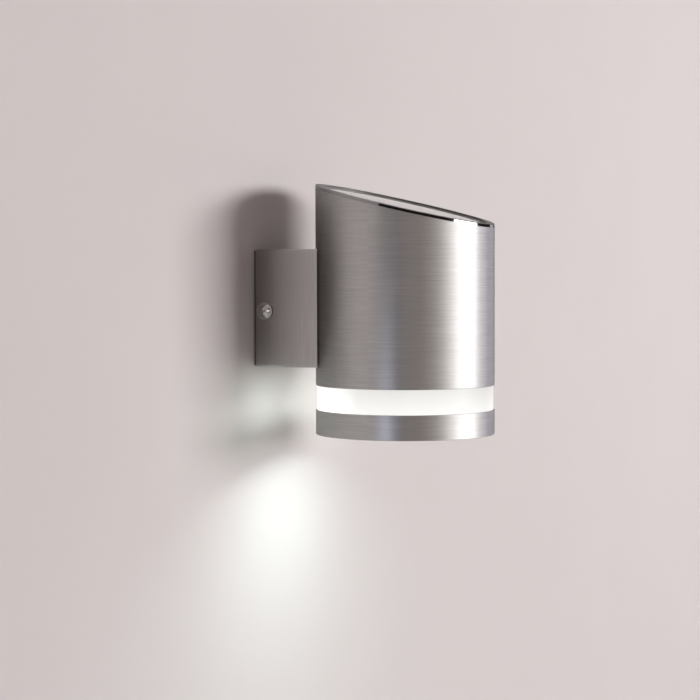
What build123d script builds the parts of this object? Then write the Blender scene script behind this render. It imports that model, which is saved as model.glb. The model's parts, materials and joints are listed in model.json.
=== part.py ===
"""Wall light: a steel tube on a box bracket, with a slanted solar panel on top, a glowing ring
near its lower end and a lens that shines down the wall.

Millimetres, +Z up, +X along the wall, -Y out from the wall into the room. The origin lies on
the wall, behind the middle of the box bracket.
"""
import os
from math import cos, radians, sin, sqrt, tan

from build123d import *

# Steel tube, glowing band and lower ring
tube_diameter = 76.1
tube_wall = 1.5
axis_from_wall = 59.5
tube_below_centre = 53.4  # from the bracket's middle down to the lower ring's edge
lower_ring_height = 10.4
light_band_height = 10.3
top_height = 97.6  # slanted top above the lower ring's edge, on the tube's axis
top_slope = 13.7  # degrees, high at the wall and low at the front

# Box bracket
box_width = 50.0
box_height = 50.0
box_sheet = 1.5
box_edge_radius = 1.2
box_back_radius = 0.8
box_tip_radius = 0.15  # where its sides meet the hollowed front
saddle_sheet = 1.5
saddle_gasket_thickness = 0.35
gasket_play = 0.03  # between the gasket and each steel face
gasket_margin = 2.5  # from the box's outline to the gasket's edge

# Wall seal, a foam frame under the box's back rim
seal_thickness = 0.5
seal_width = 1.1

# Wall plate with two ears
plate_sheet = 1.5
plate_play = 0.3  # between the ears and the inside of the box
plate_margin_z = 3.0  # from the box's inside to the plate's upper and lower edges
ear_depth = 11.0
ear_height = 24.0
wall_slot_spacing = 26.0
wall_slot_length = 9.0
wall_slot_width = 5.0

# Screws through the box's sides into nuts behind the ears
side_screw_from_wall = 5.3
side_screw_drop = 1.2  # below the box's middle
side_screw_radius = 2.0
side_screw_length = 8.0
side_head_radius = 3.7
side_head_height = 2.5
side_hole_play = 0.15
ear_slot_play = 0.3
side_nut_size = 7.0
side_nut_thickness = 3.0
nut_play = 0.2
thread_play = 0.03

# Cross recess of the pan and countersunk heads, as shares of the head's radius
recess_length_share = 1.15
recess_width_share = 0.26
recess_depth_share = 0.55  # of the head's height
head_rim_share = 0.35  # upright rim of a domed head, of its height
dome_point_share = 0.72  # a point on the dome, of the radius and of the rise over the rim
side_screw_turn = 20  # degrees that the recess is turned

# Screws that hold the tube to the box
tube_screw_spacing = 28.0
tube_screw_radius = 2.0
tube_screw_length = 11.5
tube_head_radius = 3.9
tube_head_height = 2.4
tube_hole_play = 0.25
washer_radius = 4.5
washer_thickness = 0.8
insert_radius = 2.8
insert_length = 7.5
insert_setback = 0.25  # from the spine's back to the insert

# Light ring and chassis
band_inset = 0.6  # the glowing band stands back from the steel
spigot_play = 0.15
spigot_wall = 2.8
upper_spigot_height = 6.0
chassis_play = 0.2  # to the tube's bore
chassis_floor_height = 21.0  # underside of its floor above the lower ring's edge
chassis_floor_thickness = 2.5
chassis_skirt_wall = 2.0
chassis_flange_thickness = 2.5
spine_width = 16.0
spine_play = 0.4  # between the spine and the board bay in front of it
spine_above_screw = 5.6
pillar_inset = 0.3  # from the chassis's edge to its pillars
pillar_radius = 3.0
pillar_angles = (90, 210, 330)

# Lamp board and its lights
lamp_board_inset = 1.3  # from the chassis's edge to the board's
lamp_board_thickness = 1.5
pillar_notch_play = 0.3
centre_light_size = 6.0
centre_light_height = 1.0
ring_light_count = 12
ring_light_inset = 9.5  # from the board's edge to the lights
ring_light_length = 3.5
ring_light_width = 2.8
ring_light_height = 0.8
board_screw_inset = 4.5  # from the board's edge to its screws
board_screw_angles = (30, 150, 270)
board_screw_radius = 1.25
board_screw_length = 3.6
board_head_radius = 2.3
board_head_height = 1.5
board_hole_skin = 0.4  # left of the chassis's floor over each board screw
base_hole_extra = 2.0  # depth of the pillars' holes past the base screws

# Base plate, lens and their screws
base_inset = 0.8  # the base plate's underside above the ring's edge
base_thickness = 2.2
base_play = 0.25
lip_thickness = 1.2
lip_width = 2.0
lens_seat_thickness = 1.0
lens_seat_width = 3.0
lens_pillar_gap = 0.3  # from the lens's rim to the pillars
lens_play = 0.2
lens_thickness = 2.5
lens_edge_radius = 0.4
lens_seal_thickness = 0.6
lens_rim_wall = 1.5
lens_bead_height = 0.6
lens_bead_overlap = 0.3
base_screw_radius = 1.5
base_screw_length = 12.0
base_head_radius = 2.8
base_head_height = 1.5
screw_hole_play = 0.15
stack_play = 0.05  # between parts that are clamped face to face

# Solar module: bezel, seal, glass, cells and board
rim_height = 1.2  # polished rim on the tube's end, measured straight down
rim_chamfer = 0.2
skirt_play = 0.25
skirt_wall = 1.5
skirt_depth = 10.6  # below the rim's top
module_seal_height = 2.0
module_seal_drop = 4.5
module_seal_groove = 0.7
module_seal_play = 0.1
glass_recess = 0.7
glass_thickness = 3.0
glass_play = 0.15
ribbon_thickness = 0.12
ribbon_width = 1.2
cell_thickness = 0.4
cell_count = 6
cell_pitch = 10.2
cell_gap = 0.6
cell_border = 2.0  # from the glass's edge to the cells
panel_board_thickness = 1.2
ledge_thickness = 2.4
ledge_width = 5.0
layer_play = 0.03

# Battery carrier under the panel
carrier_flange_thickness = 1.8
carrier_flange_play = 0.3
carrier_wall = 1.6
battery_diameter = 14.2
battery_body_length = 49.2
battery_nub_radius = 2.75
battery_nub_length = 1.0
battery_edge_radius = 0.6
battery_pitch = 15.0
battery_height = 72.5  # cell axes above the lower ring's edge
battery_offset = -3.0  # middle of the pair from the tube's axis, negative towards the front
battery_play = 0.4
contact_thickness = 0.4
contact_size = 10.0
spring_length = 4.0
spring_wire = 0.35  # wire radius
spring_radius = 3.4
spring_turns = 3
carrier_screw_inset = 2.6  # from the skirt's bore
carrier_screw_angles = (0, 180)
carrier_screw_radius = 1.0
carrier_screw_length = 3.6
carrier_head_radius = 1.9
carrier_head_height = 1.3
carrier_head_play = 0.3

# Board bay behind the battery pocket
bay_half_width = 20.0
bay_depth = 9.8
bay_floor_height = 66.0  # underside of the bay's floor above the lower ring's edge
bay_floor_thickness = 1.6
control_board_height = 4.1  # its underside above the bay's floor
control_board_thickness = 1.6
control_board_play = 0.4
board_rest_width = 1.6
chip_size = (6.0, 4.4, 1.4)
chip_x = -11.0
coil_radius = 2.8
coil_height = 3.0
coil_x = -2.0
capacitor_radius = 2.5
capacitor_height = 7.0
capacitor_x = 12.0

# Slide switch and its slider
switch_x = -9.0
switch_length = 8.6
switch_width = 4.4
slider_stem = 1.8
slider_travel = 2.4
slider_play = 0.3
slider_pad_length = 4.2
slider_pad_width = 3.4
slider_pad_thickness = 1.4
slider_head_length = 2.6
slider_head_height = 1.2
switch_roof = 1.0

# Two-pole socket on the module and the plug of the lamp's lead
socket_x = 9.0
plug_length = 6.0
plug_width = 3.4
plug_reach = 4.2
plug_below_socket = 4.6
socket_wall = 0.9
socket_play = 0.1
pole_pitch = 2.5
pole_radius = 0.4
pole_play = 0.15
lead_radius = 1.2
lead_hole_play = 0.4
lead_bend_share = 0.45  # of the shorter run, for each bend
lead_sway = 7.2  # slack to one side, halfway down
lead_fall_shares = (0.22, 0.45, 0.68)  # of the fall, at the lead's three bends
panel_wire_radius = 0.6
panel_wire_pitch = 2.5
panel_wire_x = 5.5

# Battery door
door_thickness = 1.6
door_play = 0.3
door_seat_play = 0.02
door_rib_width = 1.6
door_rib_x = 15.0
door_rib_drop_share = 0.33  # ribs end this share of a battery's radius below its axis
door_boss_radius = 3.0
door_boss_height = 8.0
door_screw_radius = 1.0
door_screw_length = 6.0
door_head_radius = 2.0
door_head_height = 1.2
rear_boss_x = 25.0

# Places worked out from the sizes above
tube_radius = tube_diameter / 2
bore_radius = tube_radius - tube_wall
axis_y = -axis_from_wall
bottom_z = -tube_below_centre
band_low = bottom_z + lower_ring_height
band_high = band_low + light_band_height
top_z = bottom_z + top_height
slope_angle = radians(top_slope)
saddle_radius = tube_radius + saddle_gasket_thickness
inside_half_width = box_width / 2 - box_sheet
inside_half_height = box_height / 2 - box_sheet
ear_outer = inside_half_width - plate_play
ear_inner = ear_outer - plate_sheet
side_screw_y = -side_screw_from_wall
side_screw_z = -side_screw_drop
skirt_radius = bore_radius - skirt_play
skirt_bore = skirt_radius - skirt_wall
carrier_radius = skirt_bore - carrier_flange_play
carrier_screw_circle = skirt_bore - carrier_screw_inset
glass_radius = skirt_bore - glass_play
ribbon_drop = glass_recess + glass_thickness + layer_play
cell_drop = ribbon_drop + ribbon_thickness
panel_board_drop = cell_drop + cell_thickness
ledge_drop = panel_board_drop + panel_board_thickness + layer_play
flange_drop = ledge_drop + ledge_thickness + layer_play
chassis_radius = bore_radius - chassis_play
spigot_radius = bore_radius - spigot_play
ring_bore_radius = spigot_radius - spigot_wall
plug_radius = ring_bore_radius - 2 * spigot_play
pillar_circle = plug_radius - pillar_inset - pillar_radius
lamp_board_radius = plug_radius - lamp_board_inset
ring_light_circle = lamp_board_radius - ring_light_inset
board_screw_circle = lamp_board_radius - board_screw_inset
lens_rim_radius = pillar_circle - pillar_radius - lens_pillar_gap
lens_radius = lens_rim_radius - lens_rim_wall - lens_play
lens_opening_radius = lens_radius - lens_seat_width
floor_low = bottom_z + chassis_floor_height
floor_high = floor_low + chassis_floor_thickness
flange_low = band_high + upper_spigot_height + stack_play
flange_high = flange_low + chassis_flange_thickness
lip_low = bottom_z + base_inset + base_thickness
lip_high = lip_low + lip_thickness
lens_low = bottom_z + base_inset + lens_seat_thickness + lens_seal_thickness
lens_high = lens_low + lens_thickness
lamp_board_high = floor_low - stack_play
lamp_board_low = lamp_board_high - lamp_board_thickness
spine_high = tube_screw_spacing / 2 + spine_above_screw
battery_radius = battery_diameter / 2
battery_z = bottom_z + battery_height
pocket_half_length = (battery_body_length + battery_nub_length + spring_length) / 2 + contact_thickness
pocket_half_width = battery_pitch / 2 + battery_radius + battery_play
pocket_front = axis_y + battery_offset - pocket_half_width
pocket_back = axis_y + battery_offset + pocket_half_width
pocket_top = battery_z + battery_radius + battery_play
door_top = battery_z - battery_radius - battery_play
bay_front = pocket_back + carrier_wall
bay_back = bay_front + bay_depth
bay_y = (bay_front + bay_back) / 2
spine_front = bay_back + carrier_wall + spine_play
bay_floor_low = bottom_z + bay_floor_height
bay_floor_high = bay_floor_low + bay_floor_thickness
control_board_low = bay_floor_high + control_board_height
control_board_high = control_board_low + control_board_thickness
door_bosses = (
    (0.0, pocket_front - carrier_wall - door_boss_radius / 2),
    (rear_boss_x, pocket_back + carrier_wall + door_boss_radius / 2),
)


def block(x, y, z):
    """A box between two limits on each axis."""
    size = Box(x[1] - x[0], y[1] - y[0], z[1] - z[0])
    return Pos((x[0] + x[1]) / 2, (y[0] + y[1]) / 2, (z[0] + z[1]) / 2) * size


def disc(radius, low, high, x=0.0, y=axis_y):
    """A round upright solid between two heights, on the tube's axis unless placed."""
    return Pos(x, y, (low + high) / 2) * Cylinder(radius, high - low)


def ring(outer, inner, low, high):
    """An upright ring on the tube's axis."""
    return disc(outer, low, high) - disc(inner, low - 1, high + 1)


def rod(radius, start, end):
    """A straight round rod between two points."""
    line = Line(start, end)
    ends = (Align.CENTER, Align.CENTER, Align.MIN)
    return Plane(start, z_dir=line % 0) * Cylinder(radius, line.length, align=ends)


def around(circle, angles):
    """Points on a circle about the tube's axis, at angles in degrees from +X."""
    return [(circle * cos(radians(a)), axis_y + circle * sin(radians(a))) for a in angles]


def top_plane(drop):
    """The slanted plane at a distance straight below the rim's top, facing up and forward."""
    up = (0, -sin(slope_angle), cos(slope_angle))
    return Plane((0, axis_y, top_z - drop), x_dir=(1, 0, 0), z_dir=up)


def height_under_top(y, drop):
    """The height of the slanted plane at a place between the wall and the front."""
    return top_z - drop + (y - axis_y) * tan(slope_angle)


def below_top(solid, drop):
    """What lies below the slanted plane."""
    return split(solid, bisect_by=top_plane(drop), keep=Keep.BOTTOM)


def slanted(solid, drop, thickness):
    """What lies in the slanted layer that starts at a drop and has a thickness."""
    return split(below_top(solid, drop), bisect_by=top_plane(drop + thickness), keep=Keep.TOP)


def slanted_disc(radius, drop, thickness):
    """The slanted layer of a round upright column."""
    return slanted(disc(radius, bottom_z, top_z + tube_diameter), drop, thickness)


def group(solids):
    """Separate solids that share one node."""
    return Compound(children=list(solids))


def cross_recess(radius, height):
    """The crossed slots of a screw's drive, cut down from the top of its head."""
    length = radius * recess_length_share
    width = radius * recess_width_share
    depth = height * recess_depth_share
    arm = Box(length, width, 2 * depth)
    return arm + Rot(0, 0, 90) * arm


def pan_screw(shank_radius, length, head_radius, head_height):
    """A screw with a domed head: the head above the XY plane, the shank below."""
    rim = head_height * head_rim_share
    shoulder = (head_radius * dome_point_share, rim + (head_height - rim) * dome_point_share)
    outline = [
        Line((0, 0), (head_radius, 0)),
        Line((head_radius, 0), (head_radius, rim)),
        ThreePointArc((head_radius, rim), shoulder, (0, head_height)),
        Line((0, head_height), (0, 0)),
    ]
    head = revolve(Plane.XZ * make_face(outline), axis=Axis.Z)
    shank = Pos(0, 0, -length / 2) * Cylinder(shank_radius, length)
    recess = Pos(0, 0, head_height) * cross_recess(head_radius, head_height)
    return head + shank - recess


def flat_screw(shank_radius, length, head_radius, head_height):
    """A countersunk screw: its flat top on the XY plane, the rest below."""
    cone = Pos(0, 0, -head_height / 2) * Cone(shank_radius, head_radius, head_height)
    shank = Pos(0, 0, -length / 2) * Cylinder(shank_radius, length)
    return cone + shank - cross_recess(head_radius, head_height)


# Bracket side

def wall_plate():
    """Flat plate on the wall with two slots, and an ear on each side, slotted from the front."""
    half_z = inside_half_height - plate_margin_z
    plate = block((-ear_outer, ear_outer), (-plate_sheet, 0), (-half_z, half_z))
    for side in (-1, 1):
        slot = SlotOverall(wall_slot_length, wall_slot_width)
        cutter = Plane.XZ * Pos(side * wall_slot_spacing / 2, 0) * slot
        plate -= extrude(cutter, amount=2 * plate_sheet, both=True)
        x = sorted((side * ear_inner, side * ear_outer))
        ear = block(x, (-ear_depth, 0), (-ear_height / 2, ear_height / 2))
        gap = side_screw_radius + ear_slot_play
        wide = sorted((side * (ear_inner - 1), side * (ear_outer + 1)))
        slot_z = (side_screw_z - gap, side_screw_z + gap)
        ear -= block(wide, (-ear_depth - 1, side_screw_y), slot_z)
        ear -= rod(gap, (wide[0], side_screw_y, side_screw_z), (wide[1], side_screw_y, side_screw_z))
        plate += ear
    return plate


def box_outside():
    """The box's outer form: its plan, front view and side view, each with rounded corners."""
    back = -seal_thickness
    tip = axis_y + sqrt(saddle_radius**2 - (box_width / 2) ** 2)
    plan = Pos(0, (axis_y + back) / 2) * Rectangle(box_width, back - axis_y)
    plan -= Pos(0, axis_y) * Circle(saddle_radius)
    corners = plan.vertices().sort_by(Axis.Y)
    plan = fillet(corners[:2], box_tip_radius)
    plan = fillet(plan.vertices().sort_by(Axis.Y)[-2:], box_back_radius)
    front = fillet(Rectangle(box_width, box_height).vertices(), box_edge_radius)
    side = fillet(Rectangle(back - tip, box_height).vertices(), box_back_radius)
    solid = extrude(plan, amount=box_height, both=True)
    solid &= extrude(Plane.XZ * front, amount=axis_from_wall, both=True)
    return solid & extrude(Plane.YZ * Pos((back + tip) / 2, 0) * side, amount=box_width, both=True)


def bracket_box():
    """Sheet box, open at the wall, whose front is hollowed to the tube."""
    hollow = block(
        (-inside_half_width, inside_half_width),
        (axis_y, 1),
        (-inside_half_height, inside_half_height),
    )
    hollow -= disc(saddle_radius + saddle_sheet, -box_height, box_height)
    box = box_outside() - hollow
    hole = side_screw_radius + side_hole_play
    box -= rod(hole, (-box_width, side_screw_y, side_screw_z), (box_width, side_screw_y, side_screw_z))
    return box - tube_screw_holes(tube_screw_radius + tube_hole_play)


def tube_screw_holes(radius):
    """Two level cutters through the saddle and the back of the tube."""
    cutters = Part()
    for z in (-tube_screw_spacing / 2, tube_screw_spacing / 2):
        cutters += rod(radius, (0, spine_front, z), (0, -seal_thickness, z))
    return cutters


def wall_seal():
    """Foam frame between the box's back rim and the wall."""
    outer_x = inside_half_width + seal_width
    outer_z = inside_half_height + seal_width
    frame = block((-outer_x, outer_x), (-seal_thickness, 0), (-outer_z, outer_z))
    inside = block(
        (-inside_half_width, inside_half_width),
        (-2 * seal_thickness, 1),
        (-inside_half_height, inside_half_height),
    )
    return frame - inside


def side_screws():
    """The two domed screws in the box's sides."""
    screw = pan_screw(side_screw_radius, side_screw_length, side_head_radius, side_head_height)
    placed = []
    for side in (-1, 1):
        centre = (side * box_width / 2, side_screw_y, side_screw_z)
        seat = Plane(centre, x_dir=(0, 1, 0), z_dir=(side, 0, 0))
        placed.append(seat * Rot(0, 0, side_screw_turn) * screw)
    return group(placed)


def side_nuts():
    """Square nuts behind the ears."""
    nuts = []
    half = side_nut_size / 2
    for side in (-1, 1):
        face = ear_inner - nut_play
        x = sorted((side * face, side * (face - side_nut_thickness)))
        y = (side_screw_y - half, side_screw_y + half)
        z = (side_screw_z - half, side_screw_z + half)
        bore = side_screw_radius + thread_play
        hole = rod(bore, (0, side_screw_y, side_screw_z), (side * box_width, side_screw_y, side_screw_z))
        nuts.append(block(x, y, z) - hole)
    return group(nuts)


def saddle_gasket():
    """Rubber sheet between the tube and the hollowed front of the box."""
    outer = saddle_radius - gasket_play
    inner = tube_radius + gasket_play
    half_z = box_height / 2 - gasket_margin
    half_x = box_width / 2 - gasket_margin
    sheet = ring(outer, inner, -half_z, half_z)
    sheet &= block((-half_x, half_x), (axis_y, 0), (-half_z, half_z))
    return sheet - tube_screw_holes(tube_screw_radius + tube_hole_play)


def tube_screw_seat(z, lift):
    """A plane on the saddle's back, facing the wall, raised by a lift."""
    y = axis_y + saddle_radius + saddle_sheet + lift
    return Plane((0, y, z), x_dir=(1, 0, 0), z_dir=(0, 1, 0))


def tube_screws():
    """Screws from inside the box into the chassis."""
    screw = pan_screw(tube_screw_radius, tube_screw_length, tube_head_radius, tube_head_height)
    heights = (-tube_screw_spacing / 2, tube_screw_spacing / 2)
    return group([tube_screw_seat(z, washer_thickness) * screw for z in heights])


def tube_washers():
    """Flat washers under the tube screws' heads."""
    washer = Pos(0, 0, washer_thickness / 2) * (
        Cylinder(washer_radius, washer_thickness)
        - Cylinder(tube_screw_radius + tube_hole_play, 2 * washer_thickness)
    )
    heights = (-tube_screw_spacing / 2, tube_screw_spacing / 2)
    return group([tube_screw_seat(z, 0) * washer for z in heights])


# Tube and light ring

def upper_tube():
    """The brushed tube with its slanted upper end and two screw holes at the back."""
    tube = ring(tube_radius, bore_radius, band_high, top_z + tube_diameter)
    tube = below_top(tube, rim_height)
    return tube - tube_screw_holes(tube_screw_radius + tube_hole_play)


def diffuser_ring():
    """Frosted sleeve: the glowing band, with a spigot up into the tube and one down."""
    sleeve = disc(tube_radius - band_inset, band_low, band_high)
    sleeve += disc(spigot_radius, lip_high + stack_play, band_high + upper_spigot_height)
    return sleeve - disc(ring_bore_radius, bottom_z, flange_high)


def bottom_ring():
    """The short steel ring below the band, with a lip inside."""
    steel = ring(tube_radius, bore_radius, bottom_z, band_low)
    return steel + ring(bore_radius + tube_wall / 2, bore_radius - lip_width, lip_low, lip_high)


def chassis():
    """White plastic dish in the tube, with a spine for the tube screws and three pillars."""
    body = disc(plug_radius, floor_low, flange_high) + disc(chassis_radius, flange_low, flange_high)
    body -= disc(plug_radius - chassis_skirt_wall, floor_high, flange_high + 1)
    half = spine_width / 2
    spine = disc(chassis_radius, flange_low, spine_high)
    spine &= block((-half, half), (spine_front, 0), (flange_low, spine_high))
    foot = disc(plug_radius, floor_low, flange_high)
    foot &= block((-half, half), (spine_front, 0), (floor_low, flange_high))
    body += spine + foot
    for x, y in around(pillar_circle, pillar_angles):
        body += disc(pillar_radius, lip_low + stack_play, floor_high, x, y)
        hole_high = bottom_z + base_inset + base_screw_length + base_hole_extra
        body -= disc(base_screw_radius + thread_play, bottom_z, hole_high, x, y)
    for x, y in around(board_screw_circle, board_screw_angles):
        body -= disc(board_screw_radius + thread_play, bottom_z, floor_high - board_hole_skin, x, y)
    for z in (-tube_screw_spacing / 2, tube_screw_spacing / 2):
        mouth = axis_y + chassis_radius
        body -= rod(insert_radius + thread_play, (0, mouth - insert_length, z), (0, mouth + 1, z))
    return body - disc(lead_radius + lead_hole_play, bottom_z, flange_high, socket_x, bay_y)


def thread_inserts():
    """Brass inserts in the chassis's spine."""
    back = axis_y + chassis_radius
    inner = back - insert_length + stack_play
    inserts = []
    for z in (-tube_screw_spacing / 2, tube_screw_spacing / 2):
        shell = rod(insert_radius, (0, inner, z), (0, back - insert_setback, z))
        inserts.append(shell - rod(tube_screw_radius + thread_play, (0, axis_y, z), (0, 0, z)))
    return group(inserts)


def lamp_board():
    """White aluminium board under the chassis, notched round the pillars."""
    board = disc(lamp_board_radius, lamp_board_low, lamp_board_high)
    through = (lamp_board_low - 1, lamp_board_high + 1)
    for x, y in around(pillar_circle, pillar_angles):
        board -= disc(pillar_radius + pillar_notch_play, *through, x, y)
    for x, y in around(board_screw_circle, board_screw_angles):
        board -= disc(board_screw_radius + screw_hole_play, *through, x, y)
    return board


def centre_light():
    """The light in the middle of the board, facing the lens."""
    half = centre_light_size / 2
    low = lamp_board_low - centre_light_height
    return block((-half, half), (axis_y - half, axis_y + half), (low, lamp_board_low))


def ring_lights():
    """Small lights in a circle, for the glowing band."""
    low = lamp_board_low - ring_light_height
    lights = []
    for i in range(ring_light_count):
        angle = 360 / ring_light_count * (i + 0.5)
        x, y = around(ring_light_circle, (angle,))[0]
        light = Rot(0, 0, angle) * Box(ring_light_length, ring_light_width, ring_light_height)
        lights.append(Pos(x, y, (low + lamp_board_low) / 2) * light)
    return group(lights)


def board_screws():
    """Screws that hold the board to the chassis."""
    head = (board_head_radius, board_head_height)
    screw = pan_screw(board_screw_radius, board_screw_length, *head)
    placed = []
    for x, y in around(board_screw_circle, board_screw_angles):
        placed.append(Plane((x, y, lamp_board_low), z_dir=(0, 0, -1)) * screw)
    return group(placed)


def base_plate():
    """Plate in the lower ring's mouth, with the lens's seat, rim and snap bead."""
    low = bottom_z + base_inset
    plate = disc(bore_radius - base_play, low, lip_low)
    bead_low = lens_high + stack_play
    rim_high = bead_low + lens_bead_height
    plate += disc(lens_rim_radius, low, rim_high)
    plate -= disc(lens_opening_radius, low - 1, rim_high + 1)
    plate -= disc(lens_radius + lens_play, low + lens_seat_thickness, bead_low)
    plate -= disc(lens_radius - lens_bead_overlap, bead_low - 0.1, rim_high + 1)
    hole = base_screw_radius + screw_hole_play
    sink = Cone(base_head_radius + screw_hole_play, hole, base_head_height)
    for x, y in around(pillar_circle, pillar_angles):
        plate -= disc(hole, low - 1, lip_low + 1, x, y)
        plate -= Pos(x, y, low + base_head_height / 2) * sink
    return plate


def base_screws():
    """Countersunk screws up into the pillars."""
    head = (base_head_radius, base_head_height)
    screw = flat_screw(base_screw_radius, base_screw_length, *head)
    spots = around(pillar_circle, pillar_angles)
    low = bottom_z + base_inset
    return group([Plane((x, y, low), z_dir=(0, 0, -1)) * screw for x, y in spots])


def lens():
    """Satin disc over the lower opening, with a rounded lower edge."""
    pane = disc(lens_radius, lens_low, lens_high)
    return fillet(pane.edges().sort_by(Axis.Z)[0], lens_edge_radius)


def lens_seal():
    """Flat silicone ring under the lens's edge."""
    high = lens_low - layer_play
    low = lens_low - lens_seal_thickness + layer_play
    return ring(lens_radius, lens_opening_radius + lens_play, low, high)


# Solar module

def bezel():
    """Polished rim on the tube's end, with a skirt inside it and a ledge for the panel."""
    frame = slanted_disc(tube_radius, 0, rim_height)
    top_edge = frame.edges().sort_by(lambda e: -top_plane(0).to_local_coords(e.center()).Z)[0]
    frame = chamfer(top_edge, rim_chamfer)
    frame += slanted_disc(skirt_radius, rim_height / 2, skirt_depth - rim_height / 2)
    frame -= slanted_disc(skirt_bore, -1, ledge_drop + 1)
    frame -= slanted_disc(skirt_bore - ledge_width, -1, skirt_depth + 2)
    below = ledge_drop + ledge_thickness
    frame -= slanted_disc(skirt_bore, below, skirt_depth - below + 1)
    groove = slanted_disc(bore_radius, module_seal_drop, module_seal_height)
    groove -= slanted_disc(skirt_radius - module_seal_groove, module_seal_drop - 1, module_seal_height + 2)
    frame -= groove
    for seat in carrier_screw_seats():
        frame -= seat * Cylinder(carrier_screw_radius + thread_play, 2 * carrier_screw_length)
    return frame


def module_seal():
    """Rubber band in the skirt's groove, which grips the tube's bore."""
    drop = module_seal_drop + layer_play
    height = module_seal_height - 2 * layer_play
    band = slanted_disc(bore_radius - module_seal_play, drop, height)
    return band - slanted_disc(skirt_radius - module_seal_groove + layer_play, drop - 1, height + 2)


def panel_glass():
    """Clear glass over the cells."""
    return slanted_disc(glass_radius, glass_recess, glass_thickness)


def cell_strips(width, drop, thickness, offsets):
    """Strips down the slope, each trimmed to the round panel."""
    field = slanted_disc(glass_radius - cell_border, drop, thickness)
    strips = []
    for i in range(cell_count):
        for offset in offsets:
            x = (i - (cell_count - 1) / 2) * cell_pitch + offset
            sides = (x - width / 2, x + width / 2)
            column = block(sides, (axis_y - tube_radius, 0), (bottom_z, top_z + tube_radius))
            strips.append(field & column)
    return group(strips)


def solar_cells():
    """Dark cells side by side."""
    return cell_strips(cell_pitch - cell_gap, cell_drop, cell_thickness, (0,))


def cell_ribbons():
    """Thin silver ribbons along the cells."""
    offsets = (-cell_pitch / 4, cell_pitch / 4)
    return cell_strips(ribbon_width, ribbon_drop, ribbon_thickness - layer_play, offsets)


def panel_board():
    """Board that carries the cells."""
    drop = panel_board_drop + layer_play
    return slanted_disc(glass_radius, drop, panel_board_thickness - layer_play)


def carrier_screw_seats():
    """Planes on the underside of the carrier's flange, facing down the slant's normal."""
    drop = flange_drop + carrier_flange_thickness
    down = -top_plane(0).z_dir
    seats = []
    for x, y in around(carrier_screw_circle, carrier_screw_angles):
        seats.append(Plane((x, y, height_under_top(y, drop)), x_dir=(1, 0, 0), z_dir=down))
    return seats


def carrier():
    """Black plastic tray under the panel: a battery pocket, open below, and a board bay."""
    flange = slanted_disc(carrier_radius, flange_drop, carrier_flange_thickness)
    half = pocket_half_length + carrier_wall
    ceiling = top_z + tube_diameter
    pocket_y = (pocket_front - carrier_wall, pocket_back + carrier_wall)
    walls = block((-half, half), pocket_y, (door_top, ceiling))
    bay_half = bay_half_width + carrier_wall
    walls += block((-bay_half, bay_half), (pocket_back, bay_back + carrier_wall), (bay_floor_low, ceiling))
    walls &= disc(carrier_radius, bottom_z, ceiling)
    tray = flange + below_top(walls, flange_drop)
    pocket_x = (-pocket_half_length, pocket_half_length)
    pocket_inside = (pocket_front, pocket_back)
    tray -= block(pocket_x, pocket_inside, (door_top - 1, pocket_top))
    tray -= block(pocket_x, pocket_inside, (pocket_top + carrier_wall, ceiling))
    tray -= block((-bay_half_width, bay_half_width), (bay_front, bay_back), (bay_floor_high, ceiling))
    for side in (-1, 1):
        x = sorted((side * bay_half_width, side * (bay_half_width - board_rest_width)))
        tray += block(x, (bay_front, bay_back), (bay_floor_high, control_board_low - layer_play))
    for x, y in door_bosses:
        boss = disc(door_boss_radius, door_top, door_top + door_boss_height, x, y)
        tray += boss - block(pocket_x, pocket_inside, (door_top - 1, ceiling))
        tray -= disc(door_screw_radius + thread_play, door_top - 1, door_top + door_screw_length, x, y)
    slot = (slider_stem + slider_travel) / 2 + slider_play
    tray -= block(
        (switch_x - slot, switch_x + slot),
        (bay_y - slider_stem / 2 - slider_play, bay_y + slider_stem / 2 + slider_play),
        (bay_floor_low - 1, bay_floor_high + 1),
    )
    cut_x = plug_length / 2 + socket_wall + 2 * socket_play
    cut_y = plug_width / 2 + socket_wall + 2 * socket_play
    tray -= block(
        (socket_x - cut_x, socket_x + cut_x),
        (bay_y - cut_y, bay_y + cut_y),
        (bay_floor_low - 1, bay_floor_high + 1),
    )
    head_space = Cylinder(carrier_head_radius + carrier_head_play, battery_diameter)
    for seat in carrier_screw_seats():
        tray -= seat * Cylinder(carrier_screw_radius + screw_hole_play, 2 * carrier_screw_length)
        tray -= seat * Pos(0, 0, battery_diameter / 2) * head_space
    return tray


def carrier_screws():
    """Small screws through the carrier's flange into the bezel's ledge."""
    head = (carrier_head_radius, carrier_head_height)
    screw = pan_screw(carrier_screw_radius, carrier_screw_length, *head)
    return group([seat * screw for seat in carrier_screw_seats()])


def battery_rows():
    """Each battery's middle line and the side its nub points to."""
    middle = axis_y + battery_offset
    return ((middle - battery_pitch / 2, 1), (middle + battery_pitch / 2, -1))


def batteries():
    """Two round cells that lie across the tube, head to tail."""
    cells = []
    for y, side in battery_rows():
        tip = side * (pocket_half_length - contact_thickness - layer_play)
        shoulder = tip - side * battery_nub_length
        base = shoulder - side * battery_body_length
        can = rod(battery_radius, (base, y, battery_z), (shoulder, y, battery_z))
        can = fillet(can.edges(), battery_edge_radius)
        nub = rod(battery_nub_radius, (shoulder - side, y, battery_z), (tip, y, battery_z))
        cells.append(can + nub)
    return group(cells)


def contact_plates():
    """A metal plate at each end of each battery."""
    plates = []
    half = contact_size / 2
    for y, _ in battery_rows():
        for side in (-1, 1):
            wall = pocket_half_length - layer_play
            x = sorted((side * wall, side * (wall - contact_thickness + layer_play)))
            plates.append(block(x, (y - half, y + half), (battery_z - half, battery_z + half)))
    return group(plates)


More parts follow.
